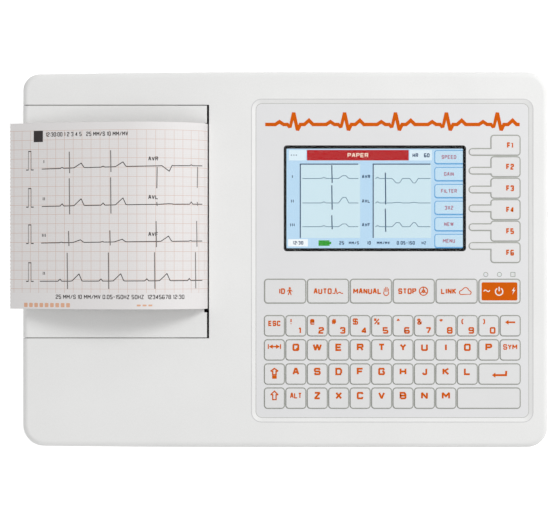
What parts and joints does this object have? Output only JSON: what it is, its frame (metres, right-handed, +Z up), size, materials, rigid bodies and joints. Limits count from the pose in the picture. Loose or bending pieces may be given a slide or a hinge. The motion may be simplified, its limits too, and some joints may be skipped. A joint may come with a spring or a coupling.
{
  "type": "ecg machine",
  "caption": "Portable ECG recorder with a wedge casing, colour display, alphanumeric keypad, sliding paper door and thermal printer with its strip of traces arched out.",
  "frame": {"origin": "on the table, under the middle of the casing with its paper strip", "axes": "+X to the user's right along the casing's width, +Y to the rear, +Z up; the deck slopes up 5 degrees to the rear"},
  "size_m": [0.2967, 0.2032, 0.0817],
  "materials": {
    "casing": "fine spark-eroded texture, off-white",
    "casing_lower": "fine spark-eroded texture, off-white",
    "panel": "satin polyester overlay, light grey",
    "key_silicone": "satin coated silicone, light grey",
    "engineering_plastic": "natural acetal",
    "black_rubber": "matt",
    "steel": "plated",
    "screw_steel": "zinc plated",
    "ceramic": "glazed",
    "aluminium": "extruded",
    "black_plastic": "moulded",
    "paper": "thermal paper with a pink grid",
    "lens": "frosted",
    "circuit_board": "solder resist",
    "display_glass": "clear with a black printed border",
    "battery_wrap": "heat-shrink wrap"
  },
  "bodies": {
    "root": {"battery_cover": "casing_lower", "battery_pack": "battery_wrap", "battery_screws": "screw_steel", "board_chips": "black_plastic", "bottom_cover": "casing_lower", "buzzer": "black_plastic", "case_screws": "screw_steel", "chassis_screws": "screw_steel", "dc_inlet": "black_plastic", "display_gasket": "black_rubber", "display_window": "display_glass", "door_rails": "engineering_plastic", "feet": "black_rubber", "head_ceramic": "ceramic", "head_heatsink": "aluminium", "head_springs": "steel", "jackscrews": "steel", "key_domes": "steel", "keyboard_mat": "key_silicone", "keypad_board": "circuit_board", "keypad_panel": "panel", "keypad_screws": "screw_steel", "lan_port": "black_plastic", "lcd_module": "steel", "led_lenses": "lens", "main_board": "circuit_board", "motor_body": "steel", "motor_bracket": "steel", "motor_screws": "screw_steel", "paper_pack": "paper", "paper_sensor": "black_plastic", "paper_strip": "paper", "paper_tray": "engineering_plastic", "patient_connector": "steel", "print_bracket": "steel", "rail_screws": "screw_steel", "ribbon_cables": "paper", "shield_can": "steel", "top_cover": "casing", "usb_device_port": "steel", "usb_host_port": "steel"},
    "door": {"paper_door": "casing", "platen_bushes": "engineering_plastic"},
    "platen": {"platen_roller": "black_rubber", "platen_shaft": "steel", "platen_gear": "engineering_plastic"},
    "idler": {"idler_gear": "engineering_plastic"},
    "motor_rotor": {"motor_pinion": "steel"},
    "key_f1": {"key_f1": "key_silicone"},
    "key_f2": {"key_f2": "key_silicone"},
    "key_f3": {"key_f3": "key_silicone"},
    "key_f4": {"key_f4": "key_silicone"},
    "key_f5": {"key_f5": "key_silicone"},
    "key_f6": {"key_f6": "key_silicone"},
    "key_id": {"key_id": "key_silicone"},
    "key_auto": {"key_auto": "key_silicone"},
    "key_manual": {"key_manual": "key_silicone"},
    "key_stop": {"key_stop": "key_silicone"},
    "key_link": {"key_link": "key_silicone"},
    "key_power": {"key_power": "key_silicone"}
  },
  "joints": [
    {"name": "door_slide", "type": "slide", "parent": "root", "child": "door", "axis": [-1, 0, 0], "range_m": [0, 0.085]},
    {"name": "platen_spin", "type": "hinge", "parent": "door", "child": "platen", "pos_m": [-0.0495, 0.02433, 0.04419], "axis": [0, 0.9962, 0.0872], "continuous": true},
    {"name": "idler_spin", "type": "hinge", "parent": "root", "child": "idler", "pos_m": [-0.03585, -0.03415, 0.03907], "axis": [0, 0.9962, 0.0872], "continuous": true},
    {"name": "motor_spin", "type": "hinge", "parent": "root", "child": "motor_rotor", "pos_m": [-0.03585, -0.04262, 0.02688], "axis": [0, 0.9962, 0.0872], "continuous": true},
    {"name": "key_f1_press", "type": "slide", "parent": "root", "child": "key_f1", "axis": [0, 0.0872, -0.9962], "range_m": [0, 0.0004], "stiffness_N_per_m": 2000},
    {"name": "key_f2_press", "type": "slide", "parent": "root", "child": "key_f2", "axis": [0, 0.0872, -0.9962], "range_m": [0, 0.0004], "stiffness_N_per_m": 2000},
    {"name": "key_f3_press", "type": "slide", "parent": "root", "child": "key_f3", "axis": [0, 0.0872, -0.9962], "range_m": [0, 0.0004], "stiffness_N_per_m": 2000},
    {"name": "key_f4_press", "type": "slide", "parent": "root", "child": "key_f4", "axis": [0, 0.0872, -0.9962], "range_m": [0, 0.0004], "stiffness_N_per_m": 2000},
    {"name": "key_f5_press", "type": "slide", "parent": "root", "child": "key_f5", "axis": [0, 0.0872, -0.9962], "range_m": [0, 0.0004], "stiffness_N_per_m": 2000},
    {"name": "key_f6_press", "type": "slide", "parent": "root", "child": "key_f6", "axis": [0, 0.0872, -0.9962], "range_m": [0, 0.0004], "stiffness_N_per_m": 2000},
    {"name": "key_id_press", "type": "slide", "parent": "root", "child": "key_id", "axis": [0, 0.0872, -0.9962], "range_m": [0, 0.0004], "stiffness_N_per_m": 2000},
    {"name": "key_auto_press", "type": "slide", "parent": "root", "child": "key_auto", "axis": [0, 0.0872, -0.9962], "range_m": [0, 0.0004], "stiffness_N_per_m": 2000},
    {"name": "key_manual_press", "type": "slide", "parent": "root", "child": "key_manual", "axis": [0, 0.0872, -0.9962], "range_m": [0, 0.0004], "stiffness_N_per_m": 2000},
    {"name": "key_stop_press", "type": "slide", "parent": "root", "child": "key_stop", "axis": [0, 0.0872, -0.9962], "range_m": [0, 0.0004], "stiffness_N_per_m": 2000},
    {"name": "key_link_press", "type": "slide", "parent": "root", "child": "key_link", "axis": [0, 0.0872, -0.9962], "range_m": [0, 0.0004], "stiffness_N_per_m": 2000},
    {"name": "key_power_press", "type": "slide", "parent": "root", "child": "key_power", "axis": [0, 0.0872, -0.9962], "range_m": [0, 0.0004], "stiffness_N_per_m": 2000}
  ],
  "couplings": [
    {"joint": "idler_spin", "follows": "platen_spin", "ratio": -2},
    {"joint": "motor_spin", "follows": "platen_spin", "ratio": 4}
  ]
}
